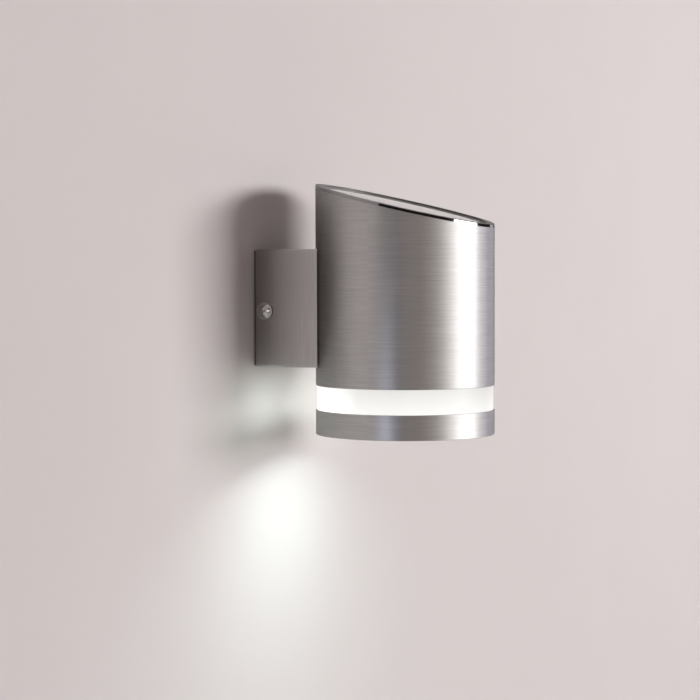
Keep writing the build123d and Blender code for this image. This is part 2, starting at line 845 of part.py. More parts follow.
def battery_springs():
    """A coil at the flat end of each battery."""
    springs = []
    length = spring_length - 2 * spring_wire - 4 * layer_play
    for y, side in battery_rows():
        start = -side * (pocket_half_length - contact_thickness - layer_play - spring_wire)
        path = Helix(length / spring_turns, length, spring_radius)
        section = Plane(path @ 0, z_dir=path % 0) * Circle(spring_wire)
        coil = sweep(section, path=path)
        springs.append(Plane((start, y, battery_z), z_dir=(side, 0, 0)) * coil)
    return group(springs)


def control_board():
    """Charge and light board in the bay."""
    half = bay_half_width - control_board_play
    edge = control_board_play
    y = (bay_front + edge, bay_back - edge)
    return block((-half, half), y, (control_board_low, control_board_high))


def board_parts():
    """Chip, coil and capacitor on the control board."""
    base = control_board_high
    chip = Pos(chip_x, bay_y, base + chip_size[2] / 2) * Box(*chip_size)
    coil = disc(coil_radius, base, base + coil_height, coil_x, bay_y)
    capacitor = disc(capacitor_radius, base, base + capacitor_height, capacitor_x, bay_y)
    return group([chip, coil, capacitor])


def switch_body():
    """Slide switch under the control board."""
    low = bay_floor_high + layer_play
    high = control_board_low - layer_play
    half_x = switch_length / 2
    half_y = switch_width / 2
    x = (switch_x - half_x, switch_x + half_x)
    body = block(x, (bay_y - half_y, bay_y + half_y), (low, high))
    reach = (slider_head_length + slider_travel) / 2 + slider_play
    side = slider_stem / 2 + slider_play
    x = (switch_x - reach, switch_x + reach)
    return body - block(x, (bay_y - side, bay_y + side), (low - 1, high - switch_roof))


def switch_slider():
    """The sliding knob, at the end of its travel where the light is on."""
    x = switch_x - slider_travel / 2
    half = slider_stem / 2
    head_high = control_board_low - layer_play - switch_roof - slider_play
    head_half = slider_head_length / 2
    pad_high = bay_floor_low - slider_play
    pad_low = pad_high - slider_pad_thickness
    pad_x = slider_pad_length / 2
    pad_y = slider_pad_width / 2
    stem_y = (bay_y - half, bay_y + half)
    head_z = (head_high - slider_head_height, head_high)
    knob = block((x - half, x + half), stem_y, (pad_low, head_high))
    knob += block((x - head_half, x + head_half), stem_y, head_z)
    return knob + block((x - pad_x, x + pad_x), (bay_y - pad_y, bay_y + pad_y), (pad_low, pad_high))


def poles():
    """Middle lines of the socket's two poles."""
    return [(socket_x + side * pole_pitch / 2, bay_y) for side in (-1, 1)]


def module_socket():
    """Socket that opens downwards, with two pins."""
    half_x = plug_length / 2 + socket_play
    half_y = plug_width / 2 + socket_play
    high = control_board_low - layer_play
    roof = bay_floor_low + plug_reach + socket_play
    mouth = ((socket_x - half_x, socket_x + half_x), (bay_y - half_y, bay_y + half_y))
    x = (mouth[0][0] - socket_wall, mouth[0][1] + socket_wall)
    y = (mouth[1][0] - socket_wall, mouth[1][1] + socket_wall)
    socket = block(x, y, (bay_floor_low, high)) - block(*mouth, (bay_floor_low - 1, roof))
    for px, py in poles():
        socket += disc(pole_radius, bay_floor_low + 1, high, px, py)
    return socket


def lead_plug():
    """Plug of the lamp's lead, seated in the socket."""
    half_x = plug_length / 2
    half_y = plug_width / 2
    low = bay_floor_low - plug_below_socket
    high = bay_floor_low + plug_reach
    x = (socket_x - half_x, socket_x + half_x)
    plug = block(x, (bay_y - half_y, bay_y + half_y), (low, high))
    for x, y in poles():
        plug -= disc(pole_radius + pole_play, bay_floor_low, high + 1, x, y)
    return plug


def lamp_lead():
    """Round two-core lead from the plug down through the chassis to the lamp board."""
    top = bay_floor_low - plug_below_socket - layer_play
    bottom = lamp_board_high + layer_play
    sways = (0, lead_sway, 0)
    points = [(socket_x, bay_y, top)]
    for sway, share in zip(sways, lead_fall_shares):
        points.append((socket_x + sway, bay_y, top - share * (top - bottom)))
    points.append((socket_x, bay_y, bottom))
    runs = [(Vector(b) - Vector(a)).length for a, b in zip(points, points[1:])]
    radii = []
    for before, after, p, q, r in zip(runs, runs[1:], points, points[1:], points[2:]):
        turn = radians((Vector(q) - Vector(p)).get_angle(Vector(r) - Vector(q)))
        radii.append(lead_bend_share * min(before, after) / tan(turn / 2))
    path = FilletPolyline(*points, radius=radii)
    section = Plane(points[0], z_dir=(0, 0, -1)) * Circle(lead_radius)
    print("lamp lead bend radii", [round(r, 1) for r in radii], "length", round(path.length, 1))
    return sweep(section, path=path)


def panel_wires():
    """Two wires from the panel's board down to the control board."""
    drop = panel_board_drop + panel_board_thickness + layer_play
    high = height_under_top(bay_y - panel_wire_radius, drop)
    wires = []
    for side in (-1, 1):
        x = panel_wire_x + side * panel_wire_pitch / 2
        wires.append(disc(panel_wire_radius, control_board_high, high, x, bay_y))
    return group(wires)


def battery_door():
    """Door under the batteries, with ribs that cradle them and a tab at each screw."""
    high = door_top - door_seat_play
    low = high - door_thickness
    half = pocket_half_length + carrier_wall
    y = (pocket_front - carrier_wall, pocket_back + carrier_wall)
    door = block((-half, half), y, (low, high)) & disc(carrier_radius, low - 1, high + 1)
    for x, y in door_bosses:
        door += disc(door_boss_radius, low, high, x, y)
    rib_y = (pocket_front + door_play, pocket_back - door_play)
    rib_high = battery_z - battery_radius * door_rib_drop_share
    for x in (-door_rib_x, door_rib_x):
        end = x + door_rib_width
        rib = block((x, end), rib_y, (low, rib_high))
        for y, _ in battery_rows():
            rib -= rod(battery_radius + door_play, (x - 1, y, battery_z), (end + 1, y, battery_z))
        door += rib
    hole = door_screw_radius + screw_hole_play
    sink = Cone(door_head_radius + screw_hole_play, hole, door_head_height)
    for x, y in door_bosses:
        door -= disc(hole, low - 1, high + 1, x, y)
        door -= Pos(x, y, low + door_head_height / 2) * sink
    return door


def door_screws():
    """Countersunk screws that hold the door."""
    screw = flat_screw(door_screw_radius, door_screw_length, door_head_radius, door_head_height)
    low = door_top - door_seat_play - door_thickness
    return group([Plane((x, y, low), z_dir=(0, 0, -1)) * screw for x, y in door_bosses])


nodes = {
    "wall_plate": wall_plate,
    "bracket_box": bracket_box,
    "wall_seal": wall_seal,
    "side_screws": side_screws,
    "side_nuts": side_nuts,
    "saddle_gasket": saddle_gasket,
    "tube_screws": tube_screws,
    "tube_washers": tube_washers,
    "upper_tube": upper_tube,
    "diffuser_ring": diffuser_ring,
    "bottom_ring": bottom_ring,
    "chassis": chassis,
    "thread_inserts": thread_inserts,
    "lamp_board": lamp_board,
    "centre_light": centre_light,
    "ring_lights": ring_lights,
    "board_screws": board_screws,
    "base_plate": base_plate,
    "base_screws": base_screws,
    "lens": lens,
    "lens_seal": lens_seal,
    "lead_plug": lead_plug,
    "lamp_lead": lamp_lead,
    "bezel": bezel,
    "module_seal": module_seal,
    "panel_glass": panel_glass,
    "solar_cells": solar_cells,
    "cell_ribbons": cell_ribbons,
    "panel_board": panel_board,
    "carrier": carrier,
    "carrier_screws": carrier_screws,
    "batteries": batteries,
    "contact_plates": contact_plates,
    "battery_springs": battery_springs,
    "control_board": control_board,
    "board_parts": board_parts,
    "switch_body": switch_body,
    "switch_slider": switch_slider,
    "module_socket": module_socket,
    "panel_wires": panel_wires,
    "battery_door": battery_door,
    "door_screws": door_screws,
}

os.makedirs("parts", exist_ok=True)
for name, make in nodes.items():
    export_step(make(), os.path.join("parts", name + ".step"))
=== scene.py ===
"""Looks of the tube wall light: finer meshes for the pieces that show most, procedural materials
for every piece, and a plain studio with a pale wall behind the light.

Metres, in the model's own frame: +Z up, the wall at y = 0, the light in front of it towards -Y.
"""
import json
from math import cos, exp, log, pi, radians, sin, tan

import bpy
from mathutils import Matrix, Vector

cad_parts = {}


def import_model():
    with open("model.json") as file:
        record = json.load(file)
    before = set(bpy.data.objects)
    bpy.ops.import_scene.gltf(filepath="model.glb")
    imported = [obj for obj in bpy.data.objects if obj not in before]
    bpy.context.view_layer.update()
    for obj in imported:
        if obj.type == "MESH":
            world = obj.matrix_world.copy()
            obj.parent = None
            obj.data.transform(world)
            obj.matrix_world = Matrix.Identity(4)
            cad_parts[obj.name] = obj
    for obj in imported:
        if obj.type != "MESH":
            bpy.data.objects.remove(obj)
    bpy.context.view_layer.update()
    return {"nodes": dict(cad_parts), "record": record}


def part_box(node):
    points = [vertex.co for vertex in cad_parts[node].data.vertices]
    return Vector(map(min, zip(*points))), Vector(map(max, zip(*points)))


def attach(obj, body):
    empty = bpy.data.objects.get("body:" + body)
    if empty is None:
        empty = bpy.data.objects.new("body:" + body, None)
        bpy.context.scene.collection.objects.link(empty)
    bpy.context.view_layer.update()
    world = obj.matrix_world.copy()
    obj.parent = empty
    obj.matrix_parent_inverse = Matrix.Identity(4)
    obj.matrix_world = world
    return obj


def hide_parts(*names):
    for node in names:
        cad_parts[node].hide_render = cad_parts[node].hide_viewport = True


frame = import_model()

MM = 0.001

# Camera: found from the tube's edges, the bracket's perspective and the wall in the photograph
camera_azimuth = 64.72
camera_elevation = 2.24
camera_roll = -0.145
camera_distance = 731.2 * MM
camera_lens = 88.27  # on a sensor 36 mm wide
aim_right = -23.48 * MM  # from the tube's axis, along the picture's width
aim_above_edge = 35.55 * MM  # above the lower ring's edge

# Places read from the frame
tube_low, tube_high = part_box("upper_tube")
ring_low, ring_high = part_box("bottom_ring")
glow_low, glow_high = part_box("diffuser_ring")
rim_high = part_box("bezel")[1]
glass_low, glass_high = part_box("panel_glass")
light_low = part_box("centre_light")[0]
tube_radius = (tube_high.x - tube_low.x) / 2
axis_y = (tube_low.y + tube_high.y) / 2
glass_radius = (glass_high.x - glass_low.x) / 2
glow_radius = (glow_high.x - glow_low.x) / 2
slope = tan(radians(13.7))  # the slanted top, high at the wall
top_on_axis = rim_high.z - slope * tube_radius

# Sizes of the pieces that are built here
tube_wall = 1.5 * MM
edge_radius = 0.22 * MM
rim_height = 1.2 * MM
round_steps = 240
lip_low = 3.0 * MM  # above the lower ring's edge
lip_high = 4.2 * MM
lip_width = 2.0 * MM
spigot_play = 0.15 * MM
sleeve_wall = 2.8 * MM
sleeve_edge = 0.3 * MM
band_edge = 0.15 * MM
screw_radius = 3.7 * MM
screw_head = 2.5 * MM
screw_rim = 0.4 * MM
screw_top = 1.2 * MM  # radius of the rounded top
screw_slope = 1.6  # of the head's sides
screw_softness = 0.28 * MM  # of the bends above and below them
shank_radius = 2.0 * MM
shank_length = 8.0 * MM
recess_turn = radians(-8)
recess_reach = 0.55 * screw_radius
recess_width = 0.13 * screw_radius  # half of an arm's width where it is widest
recess_depth = 0.30 * screw_head

# Studio
floor_height = -1.2
wall_left = -0.40
wall_right = 2.4
wall_top = 1.3


# Meshes

def piece(name, vertices, faces, body, slot, replaced=()):
    """A smooth mesh that rides on a body and stands for the nodes that it replaces."""
    mesh = bpy.data.meshes.new(name)
    mesh.from_pydata(vertices, [], faces)
    mesh.validate()
    mesh.shade_smooth()
    made = bpy.data.objects.new(name, mesh)
    bpy.context.scene.collection.objects.link(made)
    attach(made, body)
    if replaced:
        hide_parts(*replaced)
    return made


def rounded(corners, steps=4):
    """An outline whose corners, given as (radius, height, rounding), become arcs. Each arc has a
    close point on either side, which keeps the shading of the flat faces flat."""
    points = []
    count = len(corners)
    for i, (r, z, rounding) in enumerate(corners):
        here = Vector((r, z))
        before = Vector(corners[i - 1][:2]) - here
        after = Vector(corners[(i + 1) % count][:2]) - here
        if rounding == 0:
            points.append((here.x, here.y))
            continue
        turn = before.angle(after)
        reach = rounding / tan(turn / 2)
        middle = here + (before.normalized() + after.normalized()).normalized() * rounding / sin(turn / 2)
        start = here + before.normalized() * reach
        end = here + after.normalized() * reach
        guard = rounding * 0.4
        points.append(tuple(start + before.normalized() * guard))
        first = start - middle
        sweep = first.angle_signed(end - middle)
        for step in range(steps + 1):
            turned = first.copy()
            turned.rotate(Matrix.Rotation(-sweep * step / steps, 2))
            points.append(tuple(middle + turned))
        points.append(tuple(end + after.normalized() * guard))
    return points


def lathe(outline, lean=0.0, steps=round_steps):
    """Vertices and faces of a closed outline turned about the tube's axis. A lean raises each point
    by that slope towards the wall; a lean can also be given for each point of the outline."""
    leans = lean if isinstance(lean, (list, tuple)) else [lean] * len(outline)
    vertices = []
    for step in range(steps):
        angle = 2 * pi * step / steps
        for (r, z), tilt in zip(outline, leans):
            out = r * sin(angle)
            vertices.append((r * cos(angle), axis_y + out, z + tilt * out))
    count = len(outline)
    faces = []
    for step in range(steps):
        here = step * count
        there = (step + 1) % steps * count
        for i in range(count):
            j = (i + 1) % count
            faces.append((here + i, there + i, there + j, here + j))
    return vertices, faces


def upper_tube():
    """The brushed tube with softened edges, square below and slanted above."""
    inner = tube_radius - tube_wall
    top = top_on_axis - rim_height
    corners = [
        (inner, tube_low.z, edge_radius),
        (tube_radius, tube_low.z, edge_radius),
        (tube_radius, top, edge_radius / 2),
        (inner, top, edge_radius / 2),
    ]
    outline = rounded(corners)
    leans = [slope if z > (tube_low.z + top) / 2 else 0.0 for _, z in outline]
    return piece("tube_shell", *lathe(outline, leans), "lamp_head", "brushed_tube", ["upper_tube"])


def lower_ring():
    """The short brushed ring below the glowing band, with the lip inside it."""
    inner = tube_radius - tube_wall
    lip_radius = inner - lip_width
    low = ring_low.z
    corners = [
        (inner, low, edge_radius),
        (tube_radius, low, edge_radius),
        (tube_radius, ring_high.z, edge_radius),
        (inner, ring_high.z, edge_radius),
        (inner, low + lip_high, 0),
        (lip_radius, low + lip_high, 0),
        (lip_radius, low + lip_low, 0),
        (inner, low + lip_low, 0),
    ]
    return piece("lower_ring", *lathe(rounded(corners)), "lamp_head", "brushed_tube", ["bottom_ring"])


def glowing_band():
    """The frosted sleeve: the band that shows, and its spigots in the tube and the ring."""
    spigot = tube_radius - tube_wall - spigot_play
    bore = spigot - sleeve_wall
    corners = [
        (bore, glow_low.z, sleeve_edge),
        (spigot, glow_low.z, sleeve_edge),
        (spigot, ring_high.z, 0),
        (glow_radius, ring_high.z, band_edge),
        (glow_radius, tube_low.z, band_edge),
        (spigot, tube_low.z, 0),
        (spigot, glow_high.z, sleeve_edge),
        (bore, glow_high.z, sleeve_edge),
    ]
    return piece("glowing_band", *lathe(rounded(corners)), "lamp_head", "frosted_ring", ["diffuser_ring"])


def screw_rings():
    """Rings of the screw from its crown to the end of its shank, as (radius, height): a rounded
    top, steep sides and a thin flange."""
    foot = screw_top + (screw_head - screw_rim) / screw_slope
    soft = screw_softness
    rings = []
    steps = 40
    for i in range(1, steps + 1):
        r = screw_radius * i / steps
        drop = 0.0
        for sign, start in ((1, screw_top), (-1, foot)):
            drop += sign * screw_slope * soft * log(1 + exp((r - start) / soft))
        rings.append((r, screw_head - drop))
    rings.append((screw_radius, screw_rim / 2))
    rings.append((screw_radius, 0.0))
    rings.append((shank_radius, 0.0))
    rings.append((shank_radius, -shank_length))
    return rings


def pressed(across, up):
    """How deep the crossed recess is at a point of the screw's head."""
    a = across * cos(recess_turn) + up * sin(recess_turn)
    b = up * cos(recess_turn) - across * sin(recess_turn)
    deepest = 0.0
    for along, side in ((abs(a), abs(b)), (abs(b), abs(a))):
        reach = max(0.0, 1 - along / recess_reach)
        width = recess_width * (0.45 + 0.55 * reach)
        edge = max(0.0, 1 - side / width)
        deepest = max(deepest, min(1.0, 2.0 * reach) * min(1.0, 2.2 * edge))
    return recess_depth * deepest


def side_screws():
    """The two domed screws in the box's sides, each with a pressed cross recess."""
    low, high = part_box("side_screws")
    middle_y = (low.y + high.y) / 2
    middle_z = (low.z + high.z) / 2
    around = 96
    vertices = []
    faces = []
    for side in (-1, 1):
        base = len(vertices)
        seat = side * (high.x - screw_head)
        vertices.append((seat + side * (screw_head - pressed(0, 0)), middle_y, middle_z))
        rings = screw_rings()
        for r, h in rings:
            for step in range(around):
                across = r * cos(2 * pi * step / around)
                up = r * sin(2 * pi * step / around)
                sunk = pressed(across, up) if h > 2 * screw_rim else 0.0
                vertices.append((seat + side * (h - sunk), middle_y + across, middle_z + up))
        vertices.append((seat - side * shank_length, middle_y, middle_z))
        last = len(vertices) - 1
        for step in range(around):
            there = (step + 1) % around
            fan = (base, base + 1 + step, base + 1 + there)
            faces.append(fan if side > 0 else fan[::-1])
            for ring in range(len(rings) - 1):
                first = base + 1 + ring * around
                quad = (first + step, first + around + step, first + around + there, first + there)
                faces.append(quad if side > 0 else quad[::-1])
            end = base + 1 + (len(rings) - 1) * around
            cap = (last, end + there, end + step)
            faces.append(cap if side > 0 else cap[::-1])
    made = piece("domed_screws", vertices, faces, "wall_plate", "steel_screw", ["side_screws"])
    made.data.set_sharp_from_angle(angle=radians(40))
    return made


# Materials

def node(tree, kind, links=None, **settings):
    """A shader node with its settings; links names its inputs' values or the sockets that feed them."""
    made = tree.nodes.new(kind)
    for key, value in settings.items():
        setattr(made, key, value)
    for key, value in (links or {}).items():
        if isinstance(value, bpy.types.NodeSocket):
            tree.links.new(value, made.inputs[key])
        else:
            made.inputs[key].default_value = value
    return made


def maths(tree, operation, *values):
    """The result of a sum on numbers or sockets."""
    return node(tree, "ShaderNodeMath", dict(enumerate(values)), operation=operation).outputs[0]


def material(name, colour, **sockets):
    """A Principled material with plain values on its own sockets, and its tree and shader."""
    made = bpy.data.materials.new(name)
    made.use_nodes = True
    tree = made.node_tree
    shader = tree.nodes["Principled BSDF"]
    shader.inputs["Base Color"].default_value = (*colour, 1)
    for key, value in sockets.items():
        shader.inputs[key.replace("_", " ").title().replace("Ior", "IOR")].default_value = value
    return made, tree, shader


def places(tree):
    """The surface's own coordinates, in metres."""
    return node(tree, "ShaderNodeTexCoord").outputs["Object"]


def split_axes(tree, vector):
    """The three numbers of a vector."""
    return node(tree, "ShaderNodeSeparateXYZ", {"Vector": vector}).outputs


def join_axes(tree, x, y, z):
    """A vector of three numbers or sockets."""
    return node(tree, "ShaderNodeCombineXYZ", {"X": x, "Y": y, "Z": z}).outputs[0]


def grain(tree, vector, scale, detail=2.0, roughness=0.5):
    """Noise between 0 and 1."""
    links = {"Vector": vector, "Scale": scale, "Detail": detail, "Roughness": roughness}
    return node(tree, "ShaderNodeTexNoise", links).outputs["Fac"]


def spread(tree, value, low, high, old_low=0.3, old_high=0.7):
    """A value brought from its old range to a new one."""
    links = {"Value": value, "From Min": old_low, "From Max": old_high, "To Min": low, "To Max": high}
    return node(tree, "ShaderNodeMapRange", links).outputs[0]


def tinted(tree, amount, dark, light):
    """A colour between two, by an amount from 0 to 1."""
    mix = node(tree, "ShaderNodeMix", data_type="RGBA")
    tree.links.new(amount, mix.inputs[0])
    mix.inputs[6].default_value = (*dark, 1)
    mix.inputs[7].default_value = (*light, 1)
    return mix.outputs[2]


def bumped(tree, shader, height, distance, strength=1.0):
    """Bumps from a height, whose full range is a distance in metres."""
    links = {"Height": height, "Distance": distance, "Strength": strength}
    bump = node(tree, "ShaderNodeBump", links)
    tree.links.new(bump.outputs[0], shader.inputs["Normal"])


def streaks(tree, along, across, depth, stretch, detail, roughness=0.5):
    """Noise drawn out along the brushing. The stretch gives its scale along and across, per metre."""
    drawn = [maths(tree, "MULTIPLY", value, scale) for value, scale in zip((along, across), stretch)]
    return grain(tree, join_axes(tree, *drawn, depth), 1.0, detail, roughness)


def brushed(name, dark, light, round_about, roughness, anisotropy):
    """Steel with fine brush lines: round the tube's axis, or upright."""
    made, tree, shader = material(name, light, metallic=1.0)
    x, y, z = split_axes(tree, places(tree))
    if round_about:
        angle = maths(tree, "ARCTAN2", maths(tree, "SUBTRACT", y, axis_y), x)
        along = maths(tree, "MULTIPLY", angle, tube_radius)
        across = z
        depth = 0.0
    else:
        along = z
        across = y
        depth = x
    fine_lines = streaks(tree, along, across, depth, (70, 3100), 3.0)
    brush_lines = streaks(tree, along, across, depth, (30, 1900), 3.0, 0.6)
    bands = streaks(tree, along, across, depth, (14, 350), 2.0)
    mixed = maths(tree, "MULTIPLY", brush_lines, 0.42)
    mixed = maths(tree, "ADD", mixed, maths(tree, "MULTIPLY", fine_lines, 0.44))
    mixed = maths(tree, "ADD", mixed, maths(tree, "MULTIPLY", bands, 0.14))
    shade = spread(tree, mixed, 0.0, 1.0, 0.38, 0.62)
    tree.links.new(tinted(tree, shade, dark, light), shader.inputs["Base Color"])
    tree.links.new(spread(tree, mixed, roughness + 0.03, roughness - 0.03), shader.inputs["Roughness"])
    bumped(tree, shader, mixed, 0.01 * MM, 0.2)
    shader.inputs["Anisotropic"].default_value = anisotropy
    shader.inputs["Specular Tint"].default_value = (0.7, 0.7, 0.7, 1)
    if round_about:
        shader.inputs["Anisotropic Rotation"].default_value = 0.25
    tangent = node(tree, "ShaderNodeTangent", direction_type="RADIAL", axis="Z")
    tree.links.new(tangent.outputs[0], shader.inputs["Tangent"])
    return made


def polished():
    """The rim: bright on its outer face, satin on top, and a dark seal round the glass inside."""
    outer_skin = 0.1 * MM
    seal_width = 0.25 * MM
    made, tree, shader = material("polished_rim", (0.34, 0.34, 0.34), metallic=1.0, roughness=0.08)
    where = places(tree)
    x, y, _ = split_axes(tree, where)
    out = maths(tree, "SUBTRACT", y, axis_y)
    squares = maths(tree, "ADD", maths(tree, "MULTIPLY", x, x), maths(tree, "MULTIPLY", out, out))
    radius = maths(tree, "SQRT", squares)
    outer = maths(tree, "GREATER_THAN", radius, tube_radius - outer_skin)
    sealed = maths(tree, "LESS_THAN", radius, glass_radius + seal_width)
    marks = grain(tree, where, 900.0, 4.0, 0.7)
    satin = spread(tree, marks, 0.36, 0.48)
    bright = spread(tree, marks, 0.05, 0.12)
    rough = node(tree, "ShaderNodeMix", {0: outer, 2: satin, 3: bright}, data_type="FLOAT").outputs[0]
    tree.links.new(rough, shader.inputs["Roughness"])
    tree.links.new(maths(tree, "SUBTRACT", 1.0, sealed), shader.inputs["Metallic"])
    shade = spread(tree, grain(tree, where, 150.0), 0.0, 1.0)
    steel = tinted(tree, shade, (0.31, 0.31, 0.31), (0.36, 0.36, 0.36))
    mix = node(tree, "ShaderNodeMix", data_type="RGBA")
    tree.links.new(sealed, mix.inputs[0])
    tree.links.new(steel, mix.inputs[6])
    mix.inputs[7].default_value = (0.12, 0.115, 0.11, 1)
    tree.links.new(mix.outputs[2], shader.inputs["Base Color"])
    shader.inputs["Specular Tint"].default_value = (0.55, 0.55, 0.55, 1)
    return made


def turned_steel(name, dark, light, roughness):
    """Stainless or plated metal of small parts, with slight stains and rubbing."""
    made, tree, shader = material(name, light, metallic=1.0, roughness=roughness)
    stain = grain(tree, places(tree), 420.0, 5.0, 0.65)
    tree.links.new(tinted(tree, spread(tree, stain, 0.0, 1.0), dark, light), shader.inputs["Base Color"])
    tree.links.new(spread(tree, stain, roughness + 0.08, roughness - 0.06), shader.inputs["Roughness"])
    bumped(tree, shader, grain(tree, places(tree), 2600.0, 3.0), 0.01 * MM, 0.3)
    return made


def moulded(name, dark, light, roughness, pits=0.02):
    """Moulded plastic or rubber: a fine spark texture and a little unevenness of tone."""
    made, tree, shader = material(name, light, roughness=roughness)
    tone = grain(tree, places(tree), 90.0, 3.0)
    tree.links.new(tinted(tree, spread(tree, tone, 0.0, 1.0), dark, light), shader.inputs["Base Color"])
    fine = grain(tree, places(tree), 3200.0, 2.0)
    tree.links.new(spread(tree, fine, roughness + 0.06, roughness - 0.06), shader.inputs["Roughness"])
    bumped(tree, shader, fine, pits * MM, 0.4)
    return made


def frosted(name, colour, roughness=0.45):
    """Frosted acrylic with a fine grain, and its tree and shader."""
    made, tree, shader = material(name, colour, roughness=roughness, ior=1.49)
    shader.inputs["Emission Color"].default_value = (1.0, 0.995, 0.965, 1)
    bumped(tree, shader, grain(tree, places(tree), 4000.0, 2.0), 0.01 * MM, 0.3)
    return made, tree, shader


def cloudy(tree, shader, glow):
    """Sets the glow, with a slight unevenness."""
    cloud = spread(tree, grain(tree, places(tree), 60.0, 2.0), 0.98, 1.02)
    tree.links.new(maths(tree, "MULTIPLY", glow, cloud), shader.inputs["Emission Strength"])


def glowing_ring():
    """The band's acrylic: its glow is brightest towards the wall and brighter below, and painted shade dims
    it in front, standing for the darker edge the band shows there.
    """
    made, tree, shader = frosted("frosted_ring", (0.20, 0.20, 0.195))
    _, y, z = split_axes(tree, places(tree))
    at_ring, at_tube = 0.93, 0.73
    more_near, more_behind, painted_shade_in_front = 0.25, 0.2, 0.15
    front_y = axis_y - tube_radius
    rise = spread(tree, z, at_ring, at_tube, ring_high.z, tube_low.z)
    near = spread(tree, y, 0.0, 1.0, axis_y + 5 * MM, axis_y + 16 * MM)
    behind = spread(tree, y, 0.0, more_behind, axis_y + 22 * MM, axis_y + tube_radius)
    extra = maths(tree, "ADD", maths(tree, "MULTIPLY", near, more_near), behind)
    # Painted shade: the glow is turned down over the front 5 mm of the band
    front = spread(tree, y, painted_shade_in_front, 0.0, front_y, front_y + 5 * MM)
    cloudy(tree, shader, maths(tree, "SUBTRACT", maths(tree, "ADD", rise, extra), front))
    shader.inputs["Coat Weight"].default_value = 0.1
    shader.inputs["Specular IOR Level"].default_value = 0.1
    shader.inputs["Coat Roughness"].default_value = 0.15
    return let_lamps_through(made, 0.85)


def glowing(name, colour, glow, roughness=0.45):
    """Acrylic or a light that glows evenly."""
    made, tree, shader = frosted(name, colour, roughness)
    cloudy(tree, shader, glow)
    return made


def let_lamps_through(made, share=1.0):
    """Lets a share of a lamp's rays pass a see-through surface, in place of slow refracted light."""
    tree = made.node_tree
    shader = tree.nodes["Principled BSDF"]
    path = node(tree, "ShaderNodeLightPath")
    clear = node(tree, "ShaderNodeBsdfTransparent")
    passing = maths(tree, "MULTIPLY", path.outputs["Is Shadow Ray"], share)
    mix = node(tree, "ShaderNodeMixShader", {0: passing, 1: shader.outputs[0], 2: clear.outputs[0]})
    tree.links.new(mix.outputs[0], tree.nodes["Material Output"].inputs["Surface"])
    return made


def clear_glass():
    """Clear glass over the cells, with faint dust."""
    made, tree, shader = material("clear_glass", (0.96, 0.98, 0.98), roughness=0.02, ior=1.5)
    shader.inputs["Transmission Weight"].default_value = 1.0
    shader.inputs["Sheen Weight"].default_value = 0.2
    shader.inputs["Sheen Roughness"].default_value = 0.6
    dust = grain(tree, places(tree), 500.0, 4.0, 0.7)
    tree.links.new(spread(tree, dust, 0.01, 0.05), shader.inputs["Roughness"])
    return let_lamps_through(made)


def solar_cell():
    """Dark blue silicon: crystal patches, and fine silver fingers across each cell."""
    finger_pitch = 1.6 * MM
    finger_share = 0.07
    made, tree, shader = material("dark_cell", (0.02, 0.03, 0.08), roughness=0.25)
    where = places(tree)
    patches = node(tree, "ShaderNodeTexVoronoi", {"Vector": where, "Scale": 260.0})
    shade = split_axes(tree, patches.outputs["Color"])[0]
    silicon = tinted(tree, shade, (0.006, 0.010, 0.032), (0.016, 0.030, 0.085))
    y = split_axes(tree, where)[1]
    wave = maths(tree, "FRACT", maths(tree, "DIVIDE", y, finger_pitch))
    finger = maths(tree, "LESS_THAN", wave, finger_share)
    mix = node(tree, "ShaderNodeMix", data_type="RGBA")
    tree.links.new(finger, mix.inputs[0])
    tree.links.new(silicon, mix.inputs[6])
    mix.inputs[7].default_value = (0.35, 0.37, 0.40, 1)
    tree.links.new(mix.outputs[2], shader.inputs["Base Color"])
    tree.links.new(spread(tree, shade, 0.18, 0.35, 0.0, 1.0), shader.inputs["Roughness"])
    return made


def circuit_board(name, dark, light):
    """Lacquered board with faint traces."""
    made, tree, shader = material(name, light, roughness=0.35)
    where = places(tree)
    traces = node(tree, "ShaderNodeTexBrick", {"Vector": where, "Scale": 160.0, "Mortar Size": 0.06})
    traces.inputs["Color1"].default_value = (*light, 1)
    traces.inputs["Color2"].default_value = (*light, 1)
    traces.inputs["Mortar"].default_value = (*dark, 1)
    tree.links.new(traces.outputs["Color"], shader.inputs["Base Color"])
    bumped(tree, shader, grain(tree, where, 1200.0), 0.01 * MM, 0.3)
    return made


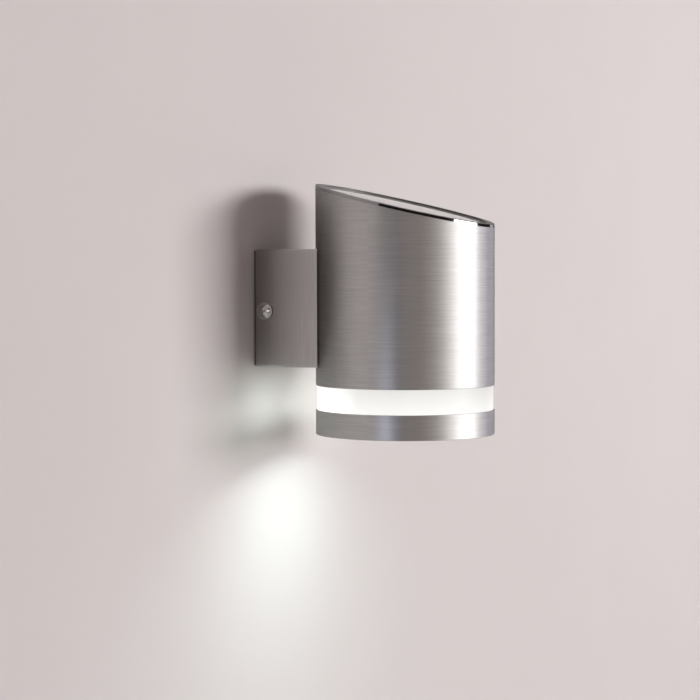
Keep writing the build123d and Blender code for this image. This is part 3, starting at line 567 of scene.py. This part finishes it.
MATERIALS = {
    "brushed_tube": brushed("brushed_tube", (0.483, 0.480, 0.475), (0.583, 0.580, 0.575), True, 0.50, 0.80),
    "brushed_bracket": brushed(
        "brushed_bracket", (0.415, 0.41, 0.405), (0.48, 0.472, 0.467), False, 0.21, 0.5
    ),
    "polished_rim": polished(),
    "steel_screw": turned_steel("steel_screw", (0.60, 0.60, 0.60), (0.74, 0.74, 0.74), 0.12),
    "zinc_plate": turned_steel("zinc_plate", (0.46, 0.48, 0.50), (0.66, 0.67, 0.68), 0.34),
    "nickel_strip": turned_steel("nickel_strip", (0.50, 0.48, 0.44), (0.70, 0.68, 0.63), 0.25),
    "silver_ribbon": turned_steel("silver_ribbon", (0.26, 0.27, 0.30), (0.40, 0.41, 0.44), 0.38),
    "brass_insert": turned_steel("brass_insert", (0.52, 0.36, 0.14), (0.78, 0.58, 0.27), 0.28),
    "black_foam": moulded("black_foam", (0.19, 0.19, 0.19), (0.25, 0.25, 0.25), 0.85, 0.08),
    "black_rubber": moulded("black_rubber", (0.014, 0.014, 0.014), (0.03, 0.03, 0.03), 0.6),
    "clear_silicone": moulded("clear_silicone", (0.62, 0.64, 0.64), (0.72, 0.74, 0.74), 0.4, 0.01),
    "black_lead": moulded("black_lead", (0.012, 0.012, 0.012), (0.028, 0.028, 0.028), 0.5),
    "white_plastic": moulded("white_plastic", (0.72, 0.72, 0.70), (0.80, 0.80, 0.78), 0.45),
    "white_board": circuit_board("white_board", (0.70, 0.71, 0.69), (0.82, 0.83, 0.81)),
    "green_board": circuit_board("green_board", (0.012, 0.10, 0.035), (0.02, 0.15, 0.06)),
    "black_plastic": moulded("black_plastic", (0.014, 0.014, 0.015), (0.03, 0.03, 0.031), 0.5),
    "black_part": moulded("black_part", (0.01, 0.01, 0.01), (0.022, 0.022, 0.022), 0.4),
    "battery_wrap": moulded("battery_wrap", (0.04, 0.20, 0.09), (0.07, 0.28, 0.13), 0.3),
    "dark_cell": solar_cell(),
    "clear_glass": clear_glass(),
    "frosted_ring": glowing_ring(),
    "frosted_base": let_lamps_through(glowing("frosted_base", (0.80, 0.80, 0.78), 0.45)),
    "satin_lens": let_lamps_through(glowing("satin_lens", (0.84, 0.84, 0.82), 0.95)),
    "light_chip": glowing("light_chip", (0.85, 0.80, 0.55), 1.0, 0.2),
}


def dress(shown, slot):
    """Gives a piece the material of its slot."""
    if shown.material_slots:
        shown.material_slots[0].material = MATERIALS[slot]
    else:
        shown.data.materials.append(MATERIALS[slot])


def dress_nodes():
    """Gives each CAD node the material of its slot in the record."""
    for row in frame["record"]["subparts"]:
        dress(frame["nodes"][row["node"]], row["material_slot"])


# Studio

def staged(name, vertices, faces, colour_material):
    """A piece of the studio, which isn't part of the object."""
    mesh = bpy.data.meshes.new(name)
    mesh.from_pydata(vertices, [], faces)
    made = bpy.data.objects.new(name, mesh)
    bpy.context.scene.collection.objects.link(made)
    made.data.materials.append(colour_material)
    return made


def pale(name, colour):
    """Plain matt paint with the faintest unevenness."""
    made, tree, shader = material(name, colour, roughness=0.9)
    tone = spread(tree, grain(tree, places(tree), 14.0, 3.0), 0.0, 1.0)
    dark = tuple(0.985 * c for c in colour)
    tree.links.new(tinted(tree, tone, dark, colour), shader.inputs["Base Color"])
    return made, tree, shader


def wall():
    """A pale wall that the light hangs on. Its back doesn't show, so that the light can be seen from
    behind, and a window behind the wall plate lets light on to the plate's back."""
    made, tree, shader = pale("pale_wall", (0.772, 0.731, 0.734))
    side = node(tree, "ShaderNodeNewGeometry").outputs["Backfacing"]
    path = node(tree, "ShaderNodeLightPath").outputs["Is Camera Ray"]
    hidden = maths(tree, "MULTIPLY", side, path)
    clear = node(tree, "ShaderNodeBsdfTransparent")
    mix = node(tree, "ShaderNodeMixShader", {0: hidden, 1: shader.outputs[0], 2: clear.outputs[0]})
    tree.links.new(mix.outputs[0], tree.nodes["Material Output"].inputs["Surface"])
    plate_low, plate_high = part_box("wall_plate")
    margin = 1.0 * MM
    gap = 0.15 * MM
    window = [plate_low.x + margin, plate_high.x - margin, plate_low.z + margin, plate_high.z - margin]
    reach = [wall_left, wall_right, floor_height, wall_top]
    xs = [reach[0], window[0], window[1], reach[1]]
    zs = [reach[2], window[2], window[3], reach[3]]
    vertices = [(x, gap, z) for z in zs for x in xs]
    faces = []
    for row in range(3):
        for column in range(3):
            if (row, column) != (1, 1):
                first = row * 4 + column
                faces.append((first, first + 1, first + 5, first + 4))
    return staged("pale_wall", vertices, faces, made)


def floor():
    """A pale floor well below the light. The camera sees it a little paler than the lamps make it,
    and more so behind the wall, where they don't reach."""
    made, tree, shader = pale("pale_floor", (0.66, 0.64, 0.63))
    glow_behind = 0.56
    fade_depth = 0.4
    glow_seen = 0.36
    y = split_axes(tree, places(tree))[1]
    behind = spread(tree, y, 0.0, glow_behind, 0.0, fade_depth)
    path = node(tree, "ShaderNodeLightPath").outputs
    seen = maths(tree, "MAXIMUM", path["Is Camera Ray"], path["Is Glossy Ray"])
    seen = maths(tree, "MAXIMUM", seen, path["Is Transmission Ray"])
    shader.inputs["Emission Color"].default_value = (1.0, 0.97, 0.955, 1)
    glow = maths(tree, "MULTIPLY", behind, seen)
    glow = maths(tree, "ADD", glow, maths(tree, "MULTIPLY", path["Is Camera Ray"], glow_seen))
    tree.links.new(glow, shader.inputs["Emission Strength"])
    half = 9.0
    vertices = [(x * half, y * half, floor_height) for x, y in ((-1, -1), (1, -1), (1, 1), (-1, 1))]
    return staged("pale_floor", vertices, [(0, 1, 2, 3)], made)


def surround():
    """The dim studio round the light: dark at eye level, paler above and behind the wall. The camera
    doesn't see it."""
    made = bpy.data.materials.new("studio")
    made.use_nodes = True
    tree = made.node_tree
    tree.nodes.clear()
    direction = node(tree, "ShaderNodeVectorMath", {0: places(tree)}, operation="NORMALIZE").outputs[0]
    x, y, z = split_axes(tree, direction)
    eye_level, more_above, more_behind = 0.022, 0.25, 0.2
    high = spread(tree, z, 0.0, 1.0, 0.10, 0.75)
    level = maths(tree, "ADD", maths(tree, "MULTIPLY", high, more_above), eye_level)
    behind = spread(tree, y, 0.0, more_behind, 0.3, 0.9)
    level = maths(tree, "ADD", level, behind)
    cool = spread(tree, x, 1.0, 0.0, -0.99, -0.86)
    colour = tinted(tree, cool, (1.2, 1.0, 0.94), (0.84, 0.94, 1.18))
    glow = node(tree, "ShaderNodeEmission", {"Color": colour, "Strength": level})
    out = node(tree, "ShaderNodeOutputMaterial")
    tree.links.new(glow.outputs[0], out.inputs["Surface"])
    far = 12.0
    corners = [(a, b, c) for a in (-far, far) for b in (-far, far) for c in (-far, far)]
    sides = [(0, 1, 3, 2), (4, 6, 7, 5), (0, 4, 5, 1), (2, 3, 7, 6), (0, 2, 6, 4), (1, 5, 7, 3)]
    made_box = staged("studio", corners, sides, made)
    made_box.visible_camera = False
    made_box.visible_shadow = False
    return made_box


def area_lamp(name, size, energy, colour, place, turn=None, shape="RECTANGLE"):
    """A flat lamp at a place. It faces down unless it is turned."""
    lamp = bpy.data.lights.new(name, "AREA")
    lamp.shape = shape
    lamp.size, lamp.size_y = size
    lamp.energy = energy
    lamp.color = colour
    made = bpy.data.objects.new(name, lamp)
    made.location = place
    if turn is not None:
        made.rotation_mode = "QUATERNION"
        made.rotation_quaternion = turn
    bpy.context.scene.collection.objects.link(made)
    return made


def softbox(name, azimuth, elevation, distance, width, height, radiance, colour):
    """A flat lamp that faces the tube. Azimuth is counted from +X towards +Y, in degrees."""
    a, e = radians(azimuth), radians(elevation)
    out = Vector((cos(a) * cos(e), sin(a) * cos(e), sin(e)))
    place = Vector((0, axis_y, 0)) + out * distance
    energy = radiance * pi * width * height
    return area_lamp(name, (width, height), energy, colour, place, out.to_track_quat("Z", "Y"))


def collected(name, pieces):
    """A collection of pieces, for a lamp to light or to be blocked by."""
    made = bpy.data.collections.new(name)
    for shown in pieces:
        made.objects.link(shown)
    return made


def downlight(blockers):
    """The lamp behind the lens. Only the lower ring and its neighbours stop its light, so the
    ring's edge cuts it off and makes the bright arch on the wall."""
    width = 33 * MM
    below_light = 4.5 * MM
    energy = 0.063
    place = (0, axis_y, light_low.z - below_light)
    made = area_lamp("downlight", (width, width), energy, (0.76, 1.0, 0.92), place, shape="DISK")
    made.data.spread = radians(140)
    made.visible_camera = False
    made.visible_glossy = False
    made.light_linking.blocker_collection = collected("downlight_blockers", blockers)
    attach(made, "lamp_head")


def band_glow(blockers):
    """Light from inside the tube that leaves through the glowing band, on both sides of the box. The
    tube's edge and the ring's edge cut it off, which leaves a lit stretch on the wall."""
    size = (18 * MM, 18 * MM)
    beside_axis = 10 * MM
    behind_axis = 19 * MM
    above_band = 2 * MM
    outward_angle = radians(29)
    shading = collected("band_glow_blockers", blockers)
    for side, energy in ((-1, 0.0090), (1, 0.0066)):
        place = (side * beside_axis, axis_y + behind_axis, tube_low.z + above_band)
        outward = Vector((side * sin(outward_angle), cos(outward_angle), 0))
        turn = outward.to_track_quat("-Z", "Y")
        made = area_lamp("band_glow", size, energy, (0.85, 1.0, 0.90), place, turn)
        made.data.spread = radians(125)
        made.visible_camera = False
        made.visible_glossy = False
        made.light_linking.blocker_collection = shading
        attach(made, "lamp_head")


def low_card(lit):
    """A small pale card close to the light, low on its left, that only the steel reflects."""
    size = (26 * MM, 40 * MM)
    energy = 0.013
    azimuth = radians(183)
    reach = 125 * MM
    below_ring = 20 * MM
    out = Vector((cos(azimuth), sin(azimuth), 0))
    place = Vector((0, axis_y, ring_low.z - below_ring)) + out * reach
    turn = out.to_track_quat("Z", "Y")
    made = area_lamp("low_card", size, energy, (0.72, 0.80, 1.0), place, turn)
    made.visible_camera = False
    made.visible_diffuse = False
    made.light_linking.receiver_collection = collected("lit_by_low_card", lit)


def world():
    """The pale backdrop that the camera sees beyond the floor and the wall."""
    made = bpy.data.worlds.new("backdrop")
    made.use_nodes = True
    made.node_tree.nodes["Background"].inputs["Color"].default_value = (0.78, 0.76, 0.75, 1)
    bpy.context.scene.world = made


def camera():
    """The photograph's camera."""
    data = bpy.data.cameras.new("camera")
    data.sensor_width = 36.0
    data.lens = camera_lens
    data.clip_start = 0.01
    data.clip_end = 50.0
    made = bpy.data.objects.new("camera", data)
    bpy.context.scene.collection.objects.link(made)
    a, e, r = radians(camera_azimuth), radians(camera_elevation), radians(camera_roll)
    back = Vector((-sin(a) * cos(e), -cos(a) * cos(e), sin(e)))
    right = Vector((cos(a), -sin(a), 0))
    up = back.cross(right)
    turned_right = cos(r) * right + sin(r) * up
    turned_up = cos(r) * up - sin(r) * right
    aim = Vector((0, axis_y, ring_low.z + aim_above_edge)) + right * aim_right
    made.matrix_world = Matrix.Translation(aim + back * camera_distance) @ Matrix(
        (turned_right, turned_up, back)
    ).transposed().to_4x4()
    bpy.context.scene.camera = made


dress_nodes()
shell, ring, band = upper_tube(), lower_ring(), glowing_band()
for shown, slot in ((shell, "brushed_tube"), (ring, "brushed_tube"), (band, "frosted_ring")):
    dress(shown, slot)
screws = side_screws()
dress(screws, "steel_screw")
wall()
floor()
surround()
# Each row: name, azimuth and elevation in degrees, distance, width, height, radiance, colour
LAMPS = (
    ("key", 287.5, 6, 2.2, 1.52, 0.50, 14.4, (1.0, 0.985, 0.972)),
    ("side", 348, 4, 1.6, 0.34, 1.0, 1.7, (0.93, 0.89, 1.0)),
    ("rear", 90, 25, 2.4, 1.4, 1.4, 1.6, (1.0, 1.0, 1.0)),
)
# Panes that only show as reflections in the steel, and light nothing
WINGS = (
    ("near_wing", 262, 4, 2.2, 0.44, 0.8, 4.5, (1.0, 0.95, 0.93)),
    ("far_wing", 250, 4, 2.2, 0.50, 0.8, 2.1, (1.0, 0.94, 0.92)),
    ("dim_wing", 234, 4, 2.2, 0.54, 0.8, 1.1, (1.0, 0.89, 0.85)),
    ("faint_wing", 211, 4, 2.2, 0.80, 0.8, 0.74, (1.0, 0.89, 0.83)),
    ("right_wing", 322, 0, 2.2, 0.70, 0.8, 2.3, (0.95, 0.92, 1.05)),
    ("high", 190, 42, 1.6, 0.30, 0.4, 1.1, (0.85, 0.90, 1.0)),
)
for row in LAMPS:
    softbox(*row)
for row in WINGS:
    wing = softbox(*row)
    wing.visible_diffuse = False
    wing.light_linking.receiver_collection = collected("lit_by_" + row[0], [shell, ring, screws])
downlight([shell, ring, band])
band_glow([shell, ring])
low_card([shell, ring])
world()
camera()
bpy.context.scene.view_settings.view_transform = "Standard"
